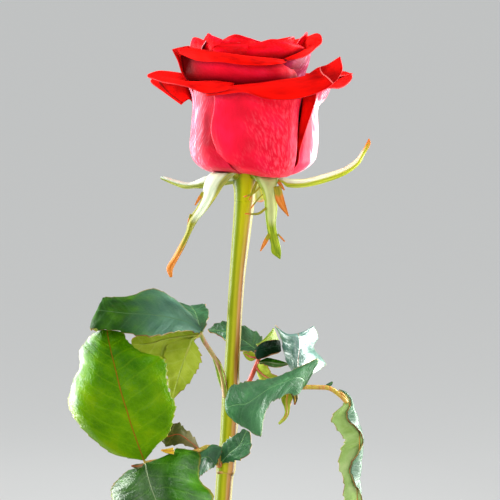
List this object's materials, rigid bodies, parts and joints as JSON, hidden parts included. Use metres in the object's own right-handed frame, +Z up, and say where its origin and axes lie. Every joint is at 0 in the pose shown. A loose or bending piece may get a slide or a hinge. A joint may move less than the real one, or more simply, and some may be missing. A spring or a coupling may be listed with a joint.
{
  "type": "rose in a bud vase",
  "caption": "One cut rose with a full cupped bloom, green sepals and serrated compound leaves, standing in a slim clear glass bud vase of water.",
  "frame": {"origin": "centre of the vase's foot, on the surface it stands on", "axes": "+Z up along the vase, -Y to the front of the bloom, +X to the right seen from the front"},
  "size_m": [0.1323, 0.0893, 0.3958],
  "materials": {
    "glass": "clear",
    "water": "clear",
    "stem": "satin",
    "calyx": "matt",
    "petal": "velvety",
    "leaf": "satin"
  },
  "bodies": {
    "root": {"vase": "glass", "water": "water", "stem": "stem", "calyx": "calyx", "bloom": "petal", "leaf_upper_left": "leaf", "leaf_lower_left": "leaf", "leaf_upper_right": "leaf", "leaf_lower_right": "leaf"}
  },
  "joints": []
}
